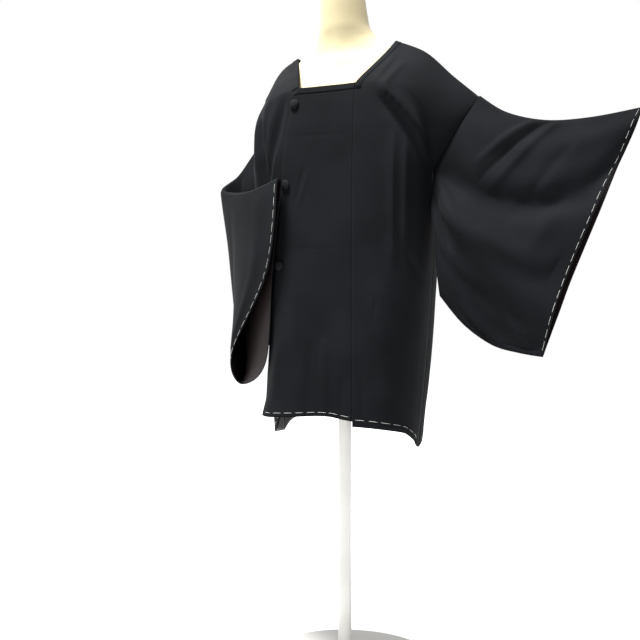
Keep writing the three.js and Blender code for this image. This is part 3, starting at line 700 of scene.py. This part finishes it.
def cloth_material(name, dark, light, rib, pebble, bump_height, **shine):
    material = bpy.data.materials.new(name)
    material.use_nodes = True
    links = material.node_tree.links
    shader = material.node_tree.nodes["Principled BSDF"]
    give_shine(shader, **shine)
    place = add_node(material, "TexCoord")
    stretch = add_node(material, "Mapping", Scale=(*rib, 1))
    links.new(place.outputs["UV"], stretch.inputs["Vector"])
    ribs = add_node(material, "TexNoise", Scale=1, Detail=3)
    links.new(stretch.outputs["Vector"], ribs.inputs["Vector"])
    pebbles = add_node(material, "TexNoise", Scale=pebble, Detail=2)
    links.new(place.outputs["Object"], pebbles.inputs["Vector"])
    dye = add_node(material, "TexNoise", Scale=7)
    links.new(place.outputs["Object"], dye.inputs["Vector"])
    grain = add_node(material, "Math")
    grain.operation = "ADD"
    links.new(ribs.outputs["Fac"], grain.inputs[0])
    links.new(pebbles.outputs["Fac"], grain.inputs[1])
    shade = add_node(material, "Math")
    shade.operation = "MULTIPLY_ADD"
    shade.inputs[1].default_value = 0.35
    links.new(grain.outputs[0], shade.inputs[0])
    links.new(dye.outputs["Fac"], shade.inputs[2])
    colour = colour_ramp(material, dark, light, 0.6)
    links.new(shade.outputs[0], colour.inputs["Fac"])
    links.new(colour.outputs["Color"], shader.inputs["Base Color"])
    bump = add_node(material, "Bump", Strength=0.5, Distance=bump_height)
    links.new(grain.outputs[0], bump.inputs["Height"])
    links.new(bump.outputs["Normal"], shader.inputs["Normal"])
    return material

CREPE = cloth_material("black_crepe", (0.0011, 0.0013, 0.0017), (0.0027, 0.0031, 0.0038),
                       (260, 1500), 900, 0.0002, roughness=0.85, specular=0.035, sheen=0.006)
LINING = cloth_material("lining_silk", (0.0030, 0.0020, 0.0021), (0.0055, 0.0034, 0.0035),
                        (700, 900), 1600, 0.00008, roughness=0.5, specular=0.08)
print("cloth materials:", CREPE.name, LINING.name)

# %% [markdown]
# ## The two body lengths
# Each length is one piece of cloth from the front hem, over the shoulder, to the back hem, so there
# is no shoulder seam. The grid follows the cloth's own run, and the folds are part of its points.
# Front and back could be two pieces; one grid over the shoulder keeps the ridge unbroken.

# %% Hang the body lengths
BODY_ROWS = 264
BODY_COLUMNS = 84

def dress(piece, node, slot, *materials):
    for material in materials:
        piece.data.materials.append(material)
    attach(piece, "root")
    if node:
        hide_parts(node)
    return piece

bodies, body_grids = {}, []
for name, side, width in (("body_left", LEFT, 300), ("body_right", RIGHT, 270)):
    grid = grid_of(BODY_ROWS, BODY_COLUMNS, lambda i, j, side=side: body_surface(side, i * 2 - 1, j))
    body_grids.append((grid, side["sign"]))
    piece = cloth_shell(name + "_cloth", grid, side["sign"], 0, -CLOTH, (width, 1680))
    bodies[name] = dress(piece, name, "crepe", CREPE, LINING)
    print(name, "has", len(piece.data.polygons), "faces")

# %% [markdown]
# ## The overlap panels
# A michiyuki's fronts are widened with straight panels that cross. The left one lies on top and its
# free edge carries the buttons; the right one is hidden behind it. Both could be cut from the body's
# grid, but the real panels are sewn on, and a grid of their own lets the free edge hang flatter.

# %% Overlap panels
PANEL_ROWS = 170
PANEL_COLUMNS = 56
HIDDEN_ROWS = 70
HIDDEN_COLUMNS = 24

panel_grid = grid_of(PANEL_ROWS, PANEL_COLUMNS, lambda i, j: overlap_point(j, i))
hidden_grid = grid_of(HIDDEN_ROWS, HIDDEN_COLUMNS, lambda i, j: underlap_point(j, i))
overlap_left = cloth_shell("overlap_left_cloth", panel_grid, 1, 0, -CLOTH, (165, 670))
dress(overlap_left, "overlap_left", "crepe", CREPE, LINING)
overlap_right = cloth_shell("overlap_right_cloth", hidden_grid, -1, 0, -CLOTH, (110, 661))
dress(overlap_right, "overlap_right", "crepe", CREPE, LINING)
print("overlap faces:", len(overlap_left.data.polygons), len(overlap_right.data.polygons))

# %% [markdown]
# ## The sleeves
# Each sleeve is a flat bag in real life. Spread on the form it sags in swags, which the rings already
# hold; the sharper creases are added along the cloth's outward side, as displaced points rather than
# bump, so that they shade and shadow each other.

# %% Sleeves
SLEEVE_ROWS = 100
SLEEVE_ROUND = 290

def sleeve_grid(table, side, creases):
    grid = [sleeve_ring(table, side, i / SLEEVE_ROWS, SLEEVE_ROUND) for i in range(SLEEVE_ROWS + 1)]
    normals = grid_normals(grid, closed=True)
    for i, line in enumerate(grid):
        at = i / SLEEVE_ROWS
        for j in range(SLEEVE_ROUND):
            down = round_share(side, j, SLEEVE_ROUND) * 2 * SLEEVE_DEPTH
            stand = crease_height(creases, at * SLEEVE_WIDTH, down) * smooth(0, 0.06, at)
            line[j] = line[j] + normals[i][j] * side["sign"] * stand
    return grid

sleeves, sleeve_grids = [], []
for name, side, table, creases in (("sleeve_left", LEFT, LEFT_SLEEVE, LEFT_SLEEVE_CREASES),
                                   ("sleeve_right", RIGHT, RIGHT_SLEEVE, RIGHT_SLEEVE_CREASES)):
    grid = sleeve_grid(table, side, creases)
    sleeve_grids.append((grid, side["sign"]))
    piece = cloth_shell(name + "_cloth", grid, side["sign"], CLOTH, 0,
                        (2 * SLEEVE_DEPTH, SLEEVE_WIDTH), closed=True)
    sleeves.append(dress(piece, name, "crepe", CREPE, LINING))

# %% [markdown]
# ## The collar band
# A narrow bias band finishes the square neckline. It is laid on the body cloth: from each place on
# the neck edge a short walk over the cloth, square to the edge, gives the band's width. A swept
# strip would be quicker, but it would cut through the cloth wherever that curves.

# %% Collar band, how it is laid
BAND_STEPS = 6
BAND_RUN_STEPS = 120
BAND_LIFT = 0.12
RIGHT_BAND_START = 0.98
FRONT_BAND_STEPS = 60
FRONT_BAND_SPAN = (0.006, 0.94)
FRONT_BAND_TOP = 0.06
WALK_STEPS = 4

def walk(surface, start, direction, distance):
    nudge = 4e-3
    t, u = start
    for _ in range(WALK_STEPS):
        here = surface(t, u)
        along_t = (surface(t + nudge, u) - here) / nudge
        along_u = (surface(t, u + nudge) - here) / nudge
        step = direction * (distance / WALK_STEPS)
        tt, tu, uu = along_t.dot(along_t), along_t.dot(along_u), along_u.dot(along_u)
        st, su = along_t.dot(step), along_u.dot(step)
        whole = tt * uu - tu * tu
        t += (st * uu - su * tu) / whole
        u += (su * tt - st * tu) / whole
    return surface(t, u)

def band_grid(side, first, last, count):
    surface = lambda t, u: body_surface(side, t, u)
    grid = []
    for n in range(count + 1):
        t = mix(first, last, n / count)
        along = (surface(min(last, t + 0.012), 0) - surface(max(first, t - 0.012), 0)).normalized()
        direction = surface(t, 0.05) - surface(t, 0)
        direction -= along * direction.dot(along) * smooth(0, 0.03, abs(t))
        direction.normalize()
        grid.append([walk(surface, (t, 0), direction, mix(BAND_INSET, BAND, c / BAND_STEPS))
                     for c in range(BAND_STEPS + 1)])
    return grid

corner_row = YOKE_ROWS + BAND / (NECK_Z - LEFT["hem"][0]["z"]) * (1 - YOKE_ROWS)
for name, side, first in (("collar_left", LEFT, -corner_row),
                          ("collar_right", RIGHT, -YOKE_ROWS * RIGHT_BAND_START)):
    grid = band_grid(side, first, YOKE_ROWS, BAND_RUN_STEPS)
    band = cloth_shell(name + "_cloth", grid, side["sign"], BAND_LIFT + BAND_CLOTH, BAND_LIFT, (13, 300))
    dress(band, name, "crepe", CREPE, LINING)
band_down = BAND / (NECK_Z - OVERLAP_HEM[3]["z"])
grid = grid_of(BAND_STEPS, FRONT_BAND_STEPS, lambda i, j: overlap_point(
    mix(*FRONT_BAND_SPAN, j), band_down * mix(FRONT_BAND_TOP, 1, i)))
collar_front = cloth_shell("collar_front_cloth", grid, 1, BAND_LIFT + BAND_CLOTH, BAND_LIFT, (135, 13))
dress(collar_front, "collar_front", "crepe", CREPE, LINING)
print("band corner row:", round(corner_row, 3))

# %% [markdown]
# ## Covered buttons
# A covered button is a domed metal blank with crepe gathered behind it, so the face is smooth and the
# rim has small tucks. A turned profile gives the dome, and a wave round the rim gives the tucks; a
# squashed sphere would have no rim to gather.

# %% Buttons
BUTTON_PROFILE = ((0.0, 1.0), (0.2, 0.995), (0.42, 0.97), (0.62, 0.9), (0.78, 0.79), (0.9, 0.64),
                  (0.97, 0.47), (1.0, 0.3), (0.97, 0.16), (0.9, 0.06), (0.8, 0.0), (0.0, 0.0))
BUTTON_ROUND = 56
TUCKS = 14

BUTTON_CLOTH = cloth_material("button_crepe", (0.0018, 0.002, 0.0024), (0.0036, 0.004, 0.0046),
                              (1, 1), 1500, 0.00015, roughness=0.85, specular=0.06)

def turned(name, profile, count, place, wave=0.0, waves=0):
    points, faces, rows = [], [], []
    for radius, height in profile:
        if radius == 0:
            rows.append([len(points)])
            points.append(place(0, 0, height))
            continue
        rows.append(list(range(len(points), len(points) + count)))
        for j in range(count):
            turn = j / count * 2 * math.pi
            tuck = 1 + wave * math.cos(waves * turn) * smooth(0.75, 1, radius)
            points.append(place(radius * tuck * math.cos(turn), radius * tuck * math.sin(turn), height))
    for above, below in zip(rows, rows[1:]):
        for j in range(count):
            ring = [above[j % len(above)], above[(j + 1) % len(above)],
                    below[(j + 1) % len(below)], below[j % len(below)]]
            faces.append(tuple(dict.fromkeys(ring)))
    return smooth_piece(name, [p * MM for p in points], faces)

def panel_frame(u, v):
    across = overlap_point(u + 0.04, v) - overlap_point(u - 0.04, v)
    down = overlap_point(u, v + 0.01) - overlap_point(u, v - 0.01)
    return across.normalized(), down.normalized(), across.cross(down).normalized()

def add_button(number, z):
    v = (NECK_Z - z) / (NECK_Z - PANEL_FOOT_Z)
    _, down, out = panel_frame(BUTTON_PLACE, v)
    side_way = down.cross(out).normalized()
    middle = overlap_point(BUTTON_PLACE, v) + out * BUTTON_STANDOFF
    place = lambda x, y, h: (middle + side_way * x * BUTTON_RADIUS + down * y * BUTTON_RADIUS
                             + out * h * BUTTON_HEIGHT)
    button = turned(f"button_{number}_cover", BUTTON_PROFILE, BUTTON_ROUND, place, 0.018, TUCKS)
    dress(button, f"button_{number}", "button_cloth", BUTTON_CLOTH)

for number, z in enumerate(BUTTON_HEIGHTS, 1):
    add_button(number, z)
print("buttons:", len(BUTTON_HEIGHTS), "of", 2 * BUTTON_RADIUS, "mm")

# %% [markdown]
# ## The dress form, its pole and its plate
# The form is a padded torso under a tight cream jersey. Rounded rings at each height are read from a
# table, so the surface is one smooth skin; sculpting would be freer but wouldn't keep the cloth's
# clearance. The pole and plate are turned profiles with eased edges.

# %% Form and stand
FORM_RINGS = [
    dict(z=640, wide=112, front=82, back=84, y=0, power=2.2),
    dict(z=720, wide=132, front=98, back=102, y=0, power=2.2),
    dict(z=800, wide=136, front=102, back=106, y=0, power=2.1),
    dict(z=940, wide=116, front=88, back=88, y=-2, power=2),
    dict(z=1040, wide=130, front=96, back=92, y=-4, power=2),
    dict(z=1120, wide=150, front=94, back=96, y=-6, power=2),
    dict(z=1180, wide=158, front=82, back=92, y=-6, power=1.9),
    dict(z=1222, wide=156, front=66, back=80, y=-6, power=1.7),
    dict(z=1252, wide=142, front=54, back=68, y=-6, power=1.5),
    dict(z=1276, wide=126, front=47.5, back=58, y=-5, power=1.4),
    dict(z=1298, wide=105.5, front=44, back=52, y=-2, power=1.4),
    dict(z=1322, wide=74, front=44, back=50, y=-3, power=1.6),
    dict(z=1348, wide=57, front=46, back=48, y=-7, power=1.9),
    dict(z=1390, wide=51, front=47, back=47, y=-14, power=2),
    dict(z=1450, wide=47, front=46, back=46, y=-26, power=2),
]
SHOULDER_TILT = 0.066
TILT_GROWS = (1120, 1290)
TILT_FADES = (1340, 1420)
FORM_BOTTOM = 640
FORM_TOP = 1450
FORM_ROUND = 112
FORM_STEPS = 130
POLE_RADIUS = 14
POLE_ROUND = 64
PLATE_RADIUS = 200
PLATE_HEIGHT = 14
PLATE_ROUND = 160

def form_ring(z, shrink):
    line = []
    for j in range(FORM_ROUND):
        turn = j / FORM_ROUND * 2 * math.pi
        cos, sin = math.cos(turn), math.sin(turn)
        wide = read(FORM_RINGS, "z", z, "wide")
        deep = read(FORM_RINGS, "z", z, "front" if sin < 0 else "back")
        power = 2 / read(FORM_RINGS, "z", z, "power")
        x = wide * math.copysign(abs(cos) ** power, cos) * shrink
        y = deep * math.copysign(abs(sin) ** power, sin) * shrink
        rise = SHOULDER_TILT * x * smooth(*TILT_GROWS, z) * (1 - smooth(*TILT_FADES, z))
        line.append(Vector((x, y + read(FORM_RINGS, "z", z, "y"), z + rise)))
    return line

def form_rings():
    steps = [(mix(FORM_BOTTOM + 4, FORM_TOP - 4, i / FORM_STEPS), 1) for i in range(FORM_STEPS + 1)]
    eased = [(4, 1), (3, 0.994), (1.4, 0.982), (0.4, 0.966), (0, 0.94)]
    start = [(FORM_BOTTOM + depth, shrink) for depth, shrink in reversed(eased[1:])]
    stop = [(FORM_TOP - depth, shrink) for depth, shrink in eased[1:]]
    return [form_ring(z, shrink) for z, shrink in start + steps + stop]

def jersey_form():
    rings = form_rings()
    points = [p * MM for line in rings for p in line]
    faces = [(i * FORM_ROUND + j, i * FORM_ROUND + (j + 1) % FORM_ROUND,
              (i + 1) * FORM_ROUND + (j + 1) % FORM_ROUND, (i + 1) * FORM_ROUND + j)
             for i in range(len(rings) - 1) for j in range(FORM_ROUND)]
    for row in (0, len(rings) - 1):
        middle = sum((p for p in rings[row]), Vector()) / FORM_ROUND * MM
        points.append(middle)
        faces += [(len(points) - 1, row * FORM_ROUND + j, row * FORM_ROUND + (j + 1) % FORM_ROUND)
                  for j in range(FORM_ROUND)]
    return smooth_piece("form_torso_jersey", points, faces)

JERSEY = cloth_material("cream_jersey", (0.25, 0.215, 0.125), (0.29, 0.25, 0.152),
                        (1, 1), 1100, 0.00012, roughness=0.8, specular=0.25, sheen=0.1)
PAINT = cloth_material("stand_paint", (0.27, 0.265, 0.25), (0.31, 0.305, 0.29),
                       (1, 1), 500, 0.00003, roughness=0.38)

dress(jersey_form(), "form_torso", "jersey", JERSEY)
POLE_FOOT = PLATE_HEIGHT + SEAM
POLE_TOP = FORM_BOTTOM - SEAM
pole_edge = [(0, 0), (POLE_RADIUS - 1.5, 0), (POLE_RADIUS - 0.4, 0.5), (POLE_RADIUS, 1.6)]
pole_profile = [(radius, POLE_TOP - depth) for radius, depth in pole_edge]
pole_profile += [(POLE_RADIUS, z) for z in (480, 330, 180)]
pole_profile += [(radius, POLE_FOOT + depth) for radius, depth in reversed(pole_edge)]
upright = lambda x, y, h: Vector((x, y, h))
pole = turned("stand_pole_tube", pole_profile, POLE_ROUND, upright)
dress(pole, "stand_pole", "stand_paint", PAINT)
plate_profile = [(radius, PLATE_HEIGHT) for radius in (0, 60, 130, 192)]
plate_profile += [(195, 13.8), (198, 12.4), (199.6, 10.4), (PLATE_RADIUS, 8)]
plate_profile += [(PLATE_RADIUS, 1.2), (199.6, 0.4), (198.6, 0), (0, 0)]
plate = turned("stand_plate_disc", plate_profile, PLATE_ROUND, upright)
dress(plate, "stand_plate", "stand_paint", PAINT)
print("form stands", FORM_TOP, "mm tall on a", 2 * PLATE_RADIUS, "mm plate")

# %% [markdown]
# ## Basting stitches
# A new coat comes with long white running stitches near its edges, pulled out before it is worn. Each
# stitch is a thin thread that dives in and out of the cloth, made as a small six-sided tube on it.
# Painted dashes would be lighter, but they wouldn't stand up at the edge.

# %% Thread and stitches
STITCH_LENGTH = 18
STITCH_GAP = 7
STITCH_INSET = 8
BODY_RUN = 1400
CUFF_RUNS = ((2, 142), (148, 288))
THREAD_RADIUS = 0.34
THREAD_STEPS = 6
THREAD_SIDES = 6

def thread_tube(points, faces, path, outs):
    start = len(points)
    for n, (place, out) in enumerate(zip(path, outs)):
        ahead = (path[min(n + 1, len(path) - 1)] - path[max(n - 1, 0)]).normalized()
        side_way = ahead.cross(out).normalized()
        taper = 0.45 if n in (0, len(path) - 1) else 1
        for s in range(THREAD_SIDES):
            turn = s / THREAD_SIDES * 2 * math.pi
            points.append(place + (side_way * math.cos(turn) + out * math.sin(turn)) * THREAD_RADIUS * taper)
    for n in range(len(path) - 1):
        for s in range(THREAD_SIDES):
            a, b = start + n * THREAD_SIDES + s, start + n * THREAD_SIDES + (s + 1) % THREAD_SIDES
            faces.append((a, b, b + THREAD_SIDES, a + THREAD_SIDES))
    faces.append(tuple(range(start, start + THREAD_SIDES)))
    end = start + (len(path) - 1) * THREAD_SIDES
    faces.append(tuple(range(end, end + THREAD_SIDES)))

def run_of_stitches(points, faces, line, outs):
    reach = [0.0]
    for a, b in zip(line, line[1:]):
        reach.append(reach[-1] + (b - a).length)
    def at(distance):
        i = max(n for n in range(len(reach) - 1) if reach[n] <= distance)
        t = (distance - reach[i]) / (reach[i + 1] - reach[i])
        return line[i].lerp(line[i + 1], t), outs[i].lerp(outs[i + 1], t).normalized()
    distance, count = STITCH_GAP / 2, 0
    while distance + STITCH_LENGTH < reach[-1]:
        length = STITCH_LENGTH * random.uniform(0.88, 1.1)
        path, normals = [], []
        for n in range(THREAD_STEPS + 1):
            share = n / THREAD_STEPS
            place, out = at(min(reach[-1] - 0.01, distance + share * length))
            rise = THREAD_RADIUS * (0.1 + 1.1 * math.sin(math.pi * share) ** 0.5)
            path.append(place + out * rise)
            normals.append(out)
        thread_tube(points, faces, path, normals)
        distance += length + STITCH_GAP * random.uniform(0.8, 1.2)
        count += 1
    return count

def grid_line(grid, cells, outward, lift, closed=False):
    rows, columns = len(grid), len(grid[0])
    line, outs = [], []
    for i, j in cells:
        a, b = min(rows - 2, int(i)), int(j) if closed else min(columns - 2, int(j))
        s, t = i - a, j - b
        corner = [grid[a][b % columns], grid[a][(b + 1) % columns],
                  grid[a + 1][b % columns], grid[a + 1][(b + 1) % columns]]
        place = corner[0].lerp(corner[1], t).lerp(corner[2].lerp(corner[3], t), s)
        out = ((corner[1] - corner[0]).cross(corner[2] - corner[0])).normalized() * outward
        line.append(place + out * lift)
        outs.append(out)
    return line, outs

print("a stitch is", STITCH_LENGTH, "mm with", STITCH_GAP, "mm between")

# %% Run the basting along the edges
def stitch_piece():
    points, faces, total = [], [], 0
    row = PANEL_ROWS - STITCH_INSET / (NECK_Z - PANEL_FOOT_Z) * PANEL_ROWS
    cells = [(row, j) for j in range(1, PANEL_COLUMNS)]
    total += run_of_stitches(points, faces, *grid_line(panel_grid, cells, 1, 0))
    inset = STITCH_INSET / BODY_RUN * BODY_ROWS
    for grid, outward in body_grids:
        for i in (inset, BODY_ROWS - inset):
            cells = [(i, j) for j in range(1, BODY_COLUMNS)]
            total += run_of_stitches(points, faces, *grid_line(grid, cells, outward, 0))
    cuff = SLEEVE_ROWS * (1 - STITCH_INSET / SLEEVE_WIDTH)
    for grid, outward in sleeve_grids:
        for first, last in CUFF_RUNS:
            cells = [(cuff, j) for j in range(first, last)]
            total += run_of_stitches(points, faces, *grid_line(grid, cells, outward, CLOTH, closed=True))
    return smooth_piece("basting_thread", [p * MM for p in points], faces), total

THREAD = cloth_material("white_thread", (0.16, 0.16, 0.15), (0.24, 0.24, 0.225),
                        (1, 1), 2500, 0.00005, roughness=0.8)
basting, stitch_count = stitch_piece()
dress(basting, None, "crepe", THREAD)
print("basting stitches:", stitch_count)

# %% [markdown]
# ## Floor and light
# The coat stands on a pale floor in a bright white studio. One lamp high up in front gives the folds
# their light side, a wide one evens out the floor, and the white room fills the rest. A picture of a
# studio could light it too, but two lamps can be moved.

# %% Floor, lamps and background
FLOOR_RADIUS = 14
FLOOR_SIDES = 64

def plain_floor():
    mesh = bpy.data.meshes.new("floor")
    turns = [side / FLOOR_SIDES * 2 * math.pi for side in range(FLOOR_SIDES)]
    ring = [(math.cos(turn) * FLOOR_RADIUS, math.sin(turn) * FLOOR_RADIUS, 0) for turn in turns]
    mesh.from_pydata(ring, [], [tuple(range(FLOOR_SIDES))])
    floor = put_in_scene("floor", mesh)
    material = bpy.data.materials.new("pale_floor")
    material.use_nodes = True
    links = material.node_tree.links
    shader = material.node_tree.nodes["Principled BSDF"]
    give_shine(shader, roughness=0.9, specular=0.1)
    place = add_node(material, "TexCoord")
    speckle = add_node(material, "TexNoise", Scale=3)
    colour = colour_ramp(material, (0.97, 0.97, 0.97), (1, 1, 1))
    links.new(place.outputs["Object"], speckle.inputs["Vector"])
    links.new(speckle.outputs["Fac"], colour.inputs["Fac"])
    links.new(colour.outputs["Color"], shader.inputs["Base Color"])
    floor.data.materials.append(material)

def area_lamp(name, place, target, size, power):
    lamp = put_in_scene(name, bpy.data.lights.new(name, "AREA"))
    lamp.data.shape = "DISK"
    lamp.data.size = size
    lamp.data.energy = power
    lamp.location = place
    lamp.rotation_euler = (Vector(target) - Vector(place)).to_track_quat("-Z", "Y").to_euler()

plain_floor()
bpy.context.scene.view_settings.view_transform = "Standard"
room = bpy.data.worlds.new("white_room")
room.use_nodes = True
room.node_tree.nodes["Background"].inputs["Color"].default_value = (1, 1, 1, 1)
room.node_tree.nodes["Background"].inputs["Strength"].default_value = 1.0
bpy.context.scene.world = room
area_lamp("key", (-0.6, -1.2, 4.6), (0.1, 0, 1.0), 1.0, 1000)
area_lamp("floor_left", (-3.0, 1.5, 4.0), (-2.0, 1.5, 0), 3.0, 120)
